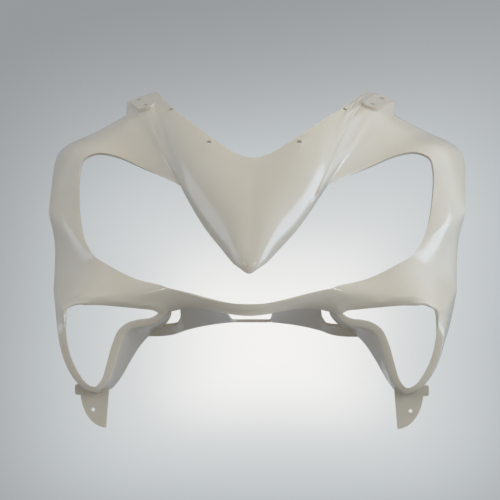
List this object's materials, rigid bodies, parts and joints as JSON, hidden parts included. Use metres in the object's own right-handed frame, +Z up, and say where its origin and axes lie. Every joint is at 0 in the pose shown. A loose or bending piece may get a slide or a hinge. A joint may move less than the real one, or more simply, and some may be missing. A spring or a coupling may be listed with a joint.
{
  "type": "motorcycle fairing",
  "caption": "Moulded upper motorcycle fairing: pointed nose panel, swept mirror ears, wide headlight opening, lower air openings and fixing tabs.",
  "frame": {"origin": "midway between the screw holes of the two lower tabs, on the front face of the tabs", "axes": "+Z up as carried on the motorcycle, the nose points along -Y, +X is to the right of someone facing the nose; left and right mirror in X = 0"},
  "size_m": [0.4932, 0.2876, 0.3949],
  "materials": {
    "shell": "unpainted cream white moulded ABS, glossy and slightly translucent"
  },
  "bodies": {
    "root": {"fairing_shell": "shell"}
  },
  "joints": []
}
